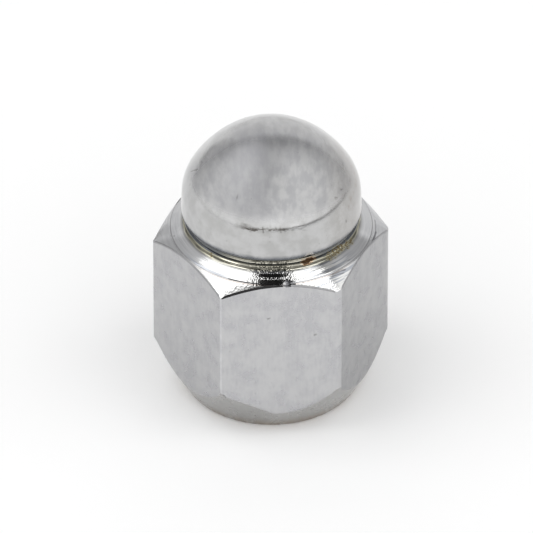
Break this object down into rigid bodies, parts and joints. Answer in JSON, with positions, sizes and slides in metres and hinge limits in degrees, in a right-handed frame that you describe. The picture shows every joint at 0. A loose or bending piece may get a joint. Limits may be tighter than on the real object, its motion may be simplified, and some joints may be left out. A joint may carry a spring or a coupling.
{
  "type": "wheel nut",
  "caption": "Closed-end hexagon wheel nut with a conical seat, a tapped bore and a welded, chrome-plated dome cap.",
  "frame": {"origin": "centre of the seat end, on the nut's axis, where the nut stands", "axes": "+Z along the axis from the seat end to the crown of the cap, a flat of the hexagon faces -Y, corners point along +X and -X"},
  "size_m": [0.0242, 0.021, 0.0309],
  "materials": {
    "nut_chrome": "chrome plate over turned and drawn hexagon bar, satin on the flats, bright over fine turning rings on the chamfer",
    "cap_chrome": "chrome plate over pressed sheet steel, bright round the wall, faintly mottled on the crown"
  },
  "bodies": {
    "root": {"nut_body": "nut_chrome", "cap": "cap_chrome"}
  },
  "joints": []
}
